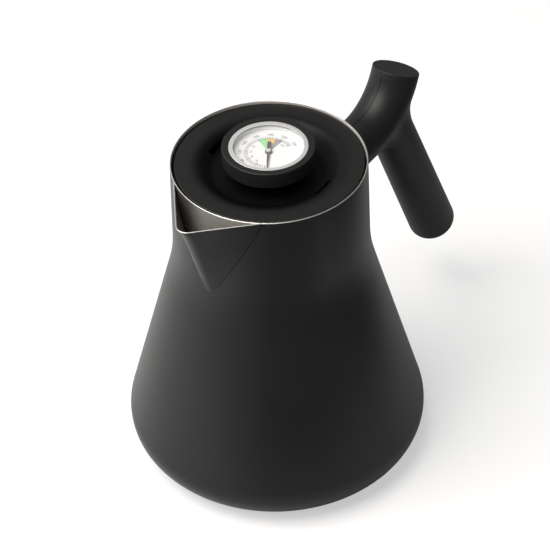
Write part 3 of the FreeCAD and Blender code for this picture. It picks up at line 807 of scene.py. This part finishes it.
def scale_marks_tree():
    number = "NodeSocketFloat"
    tree, given = geometry_tree("scale_marks", {
        "Count": "NodeSocketInt", "Start": number, "Sweep": number, "Radius": number,
        "Length": number, "Width": number, "Height": number, "Ink": "NodeSocketMaterial",
    })
    wire = Wire(tree)
    row = wire.node("GeometryNodeMeshLine", None, {"Count": given["Count"]})
    index = wire.node("GeometryNodeInputIndex")
    angle = given["Start"] - given["Sweep"] * index / (given["Count"] - 1)
    middle = given["Radius"] - given["Length"] / 2
    spot = wire.node("ShaderNodeCombineXYZ", None, {
        "X": middle * angle.maths("COSINE", angle),
        "Y": middle * angle.maths("SINE", angle),
        "Z": given["Height"],
    })
    arc = wire.node("GeometryNodeSetPosition", None, {"Geometry": row, "Position": spot})
    bar = wire.node("GeometryNodeMeshGrid", None, {
        "Size X": given["Length"], "Size Y": given["Width"], "Vertices X": 2, "Vertices Y": 2,
    })
    facing = wire.node("ShaderNodeCombineXYZ", None, {"Z": angle})
    carried = {"Points": arc, "Instance": bar, "Rotation": facing}
    bars = wire.node("GeometryNodeInstanceOnPoints", None, carried)
    real = wire.node("GeometryNodeRealizeInstances", None, {"Geometry": bars})
    inked = wire.node("GeometryNodeSetMaterial", None, {"Geometry": real, "Material": given["Ink"]})
    wire.node("NodeGroupOutput", None, {"Geometry": inked})
    return tree


MARKS = scale_marks_tree()
print("tree of scale marks has", len(MARKS.nodes), "nodes")

# %% [markdown]
# ## Scale marks
# The tree runs twice, for the fine marks and for the long ones, and each result is kept as a
# plain mesh. The print lies a hair above the dial, is turned with the lid as it sits in the
# photograph, and rides on the lid.

# %% Scale marks
DIAL_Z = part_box("dial_plate")[1].z
LID_TURN = math.radians(5)
PRINT_LIFT = 0.03 * MM


def grown(name, tree, values):
    """Runs a Geometry Nodes tree once and keeps its result as a plain mesh object."""
    seed = placed(name + "_seed", bpy.data.meshes.new(name + "_seed"))
    modifier = seed.modifiers.new("grow", "NODES")
    modifier.node_group = tree
    for item in tree.interface.items_tree:
        if item.in_out == "INPUT" and item.name in values:
            modifier[item.identifier] = values[item.name]
    shown = seed.evaluated_get(bpy.context.evaluated_depsgraph_get())
    mesh = bpy.data.meshes.new_from_object(shown)
    mesh.name = name
    seed.modifiers.remove(modifier)
    bpy.data.objects.remove(seed)
    return placed(name, mesh)


def print_on_dial(made):
    made.data.transform(Matrix.Rotation(LID_TURN, 4, "Z"))
    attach(made, "lid")
    return made


SCALE = {
    "Start": math.radians(210), "Sweep": math.radians(240), "Radius": 10.9 * MM,
    "Height": DIAL_Z + 2 * PRINT_LIFT, "Ink": INKS["grey_ink"],
}
FINE = {"Count": 41, "Length": 1.9 * MM, "Width": 0.27 * MM}
LONG = {"Count": 9, "Length": 2.3 * MM, "Width": 0.36 * MM}
for name, sizes in (("scale_fine_marks", FINE), ("scale_long_marks", LONG)):
    marks = print_on_dial(grown(name, MARKS, {**SCALE, **sizes}))
    print(name, len(marks.data.polygons), "bars")

# %% [markdown]
# ## Coloured sectors
# Three coloured sectors show the brewing ranges. They are flat fans that lie under the marks.

# %% Coloured sectors
SECTORS = [("green_ink", 60, 37.5), ("gold_ink", 37.5, 15), ("slate_ink", 15, -4.5)]
SECTOR_RADIUS = 9.7 * MM
SECTOR_STEP = 1.5


def fan(name, radius, start, end, height, material):
    """A flat sector of a disc, between two angles in degrees."""
    steps = max(2, round(abs(start - end) / SECTOR_STEP))
    turns = [math.radians(end + (start - end) * k / steps) for k in range(steps + 1)]
    points = [(0, 0, height)] + [(radius * math.cos(t), radius * math.sin(t), height) for t in turns]
    mesh = bpy.data.meshes.new(name)
    mesh.from_pydata(points, [], [(0, k, k + 1) for k in range(1, steps + 1)])
    mesh.materials.append(material)
    return placed(name, mesh)


for ink, start, end in SECTORS:
    print_on_dial(fan("sector_" + ink, SECTOR_RADIUS, start, end, DIAL_Z + PRINT_LIFT, INKS[ink]))
print("sectors:", len(SECTORS))

# %% [markdown]
# ## Numbers
# The numbers are a plain scale in both units. Text becomes a mesh first and is then turned to
# stand on its radius.

# %% Numbers
OUTER_NUMBERS = [(210 - 30 * k, str(60 + 20 * k)) for k in range(2, 9)]
INNER_NUMBERS = [(198 - 27 * k, str(20 + 10 * k)) for k in range(1, 5)] + [(-18, "100")]


def number_mesh(text, size, radius, angle, height):
    """One number as a flat mesh, standing on a circle of the dial with its top outwards."""
    words = bpy.data.curves.new("number", "FONT")
    words.body = text
    words.size = size
    words.align_x = "CENTER"
    words.align_y = "CENTER"
    words.resolution_u = 3
    holder = placed("number", words)
    mesh = bpy.data.meshes.new_from_object(holder.evaluated_get(bpy.context.evaluated_depsgraph_get()))
    bpy.data.objects.remove(holder)
    stand = Matrix.Rotation(math.radians(angle), 4, "Z") @ Matrix.Translation((radius, 0, height))
    mesh.transform(stand @ Matrix.Rotation(-math.pi / 2, 4, "Z"))
    return mesh


def number_ring(name, numbers, size, radius):
    work = bmesh.new()
    for angle, text in numbers:
        work.from_mesh(number_mesh(text, size, radius, angle, DIAL_Z + 2 * PRINT_LIFT))
    mesh = bpy.data.meshes.new(name)
    work.to_mesh(mesh)
    work.free()
    mesh.materials.append(INKS["grey_ink"])
    print_on_dial(placed(name, mesh))


number_ring("outer_numbers", OUTER_NUMBERS, size=2.1 * MM, radius=12.4 * MM)
number_ring("inner_numbers", INNER_NUMBERS, size=1.5 * MM, radius=7.5 * MM)
print("numbers:", ", ".join(text for _, text in OUTER_NUMBERS + INNER_NUMBERS))

# %% [markdown]
# ## Floor
# A sheet of white paper carries the shadow. It adds a little light of its own where the camera
# sees it, so that it comes out white, and on the left where the coat mirrors it.

# %% Floor
FLOOR_LEFT = 0.5
FLOOR_RIGHT = 0.2
FLOOR_FRONT = 0.14
FLOOR_BACK = 0.8
FLOOR_TONE = 0.55
FLOOR_GLOW = 0.5
LEFT_SHEEN = 0.36
LIT_FROM = (-0.05, 0.15)
VIEW_RIGHT = Vector((math.cos(CAMERA_AZIMUTH), math.sin(CAMERA_AZIMUTH), 0))
VIEW_AWAY = Vector((-math.sin(CAMERA_AZIMUTH), math.cos(CAMERA_AZIMUTH), 0))


def along(place, way):
    """How far a place lies along a level direction."""
    x, y, _ = place.axes()
    return x * way.x + y * way.y


def ray_kinds(wire):
    """1 for what the camera sees, also through glass, and 1 for what a gloss mirrors."""
    rays = wire.node("ShaderNodeLightPath").output.node.outputs
    seen = Wire(wire.tree, rays["Is Camera Ray"]) + Wire(wire.tree, rays["Is Transmission Ray"])
    return seen.maths("MINIMUM", seen, 1.0), Wire(wire.tree, rays["Is Glossy Ray"])


def floor_paper():
    made = bpy.data.materials.new("floor_paper")
    made.use_nodes = True
    tree = made.node_tree
    tree.nodes.clear()
    wire = Wire(tree)
    seen, mirrored = ray_kinds(wire)
    place = wire.node("ShaderNodeTexCoord", out="Object")
    sheen = mirrored * along(place, -VIEW_RIGHT).fade(*LIT_FROM)
    paper = wire.node("ShaderNodeBsdfDiffuse", None, {"Color": grey(FLOOR_TONE)})
    strength = seen * FLOOR_GLOW + sheen * LEFT_SHEEN
    glow = wire.node("ShaderNodeEmission", None, {"Color": grey(1.0), "Strength": strength})
    both = wire.node("ShaderNodeAddShader", None, {0: paper, 1: glow})
    wire.node("ShaderNodeOutputMaterial", None, {"Surface": both})
    return made


floor_mesh = bpy.data.meshes.new("floor")
near_corners = [(-FLOOR_LEFT, -FLOOR_FRONT), (FLOOR_RIGHT, -FLOOR_FRONT)]
far_corners = [(FLOOR_RIGHT, FLOOR_BACK), (-FLOOR_LEFT, FLOOR_BACK)]
edge = [VIEW_RIGHT * right + VIEW_AWAY * away for right, away in near_corners + far_corners]
floor_mesh.from_pydata(edge, [], [(0, 1, 2, 3)])
floor_mesh.materials.append(floor_paper())
floor = placed("floor", floor_mesh)
print("floor is", round(FLOOR_LEFT + FLOOR_RIGHT, 2), "by", round(FLOOR_FRONT + FLOOR_BACK, 2), "m")

# %% [markdown]
# ## Lamp and surroundings
# One large soft lamp stands high at the left. The surroundings are brightest on the left too,
# which gives the pot its bright left edge and its dark middle. The camera sees plain white.

# %% Lamp and surroundings
LAMP_AIM = Vector((0, 0, 0.09))
LAMP_COLOUR = (1.0, 0.97, 0.94)


def softbox(name, right, away, up, width, watts):
    """A square lamp placed by the photograph's own right, away and up, aimed at the kettle."""
    data = bpy.data.lights.new(name, "AREA")
    data.shape = "SQUARE"
    data.size = width
    data.energy = watts
    data.color = LAMP_COLOUR
    place = VIEW_RIGHT * right + VIEW_AWAY * away + Vector((0, 0, up))
    facing = (LAMP_AIM - place).to_track_quat("-Z", "Y").to_matrix().to_4x4()
    placed(name, data).matrix_world = Matrix.Translation(place) @ facing


softbox("key_softbox", right=-0.52, away=-0.24, up=1.2, width=1.0, watts=20)

WORLD_ALL = 0.12
WORLD_LEFT = 0.64
WORLD_FRONT = 0.15
WORLD_BACK = 0.09
world = bpy.data.worlds.new("studio")
bpy.context.scene.world = world
world.use_nodes = True
world.node_tree.nodes.clear()
air = Wire(world.node_tree)
seen, _ = ray_kinds(air)
way = air.node("ShaderNodeTexCoord", out="Generated")
studio = WORLD_ALL + WORLD_LEFT * along(way, -VIEW_RIGHT).fade(0, 1)
studio = studio + WORLD_FRONT * along(way, -VIEW_AWAY).fade(0, 1)
studio = studio + WORLD_BACK * along(way, VIEW_AWAY).fade(0, 1)
strength = seen.maths("MAXIMUM", seen, studio)
sky = air.node("ShaderNodeBackground", None, {"Color": grey(1.0), "Strength": strength})
air.node("ShaderNodeOutputWorld", None, {"Surface": sky})
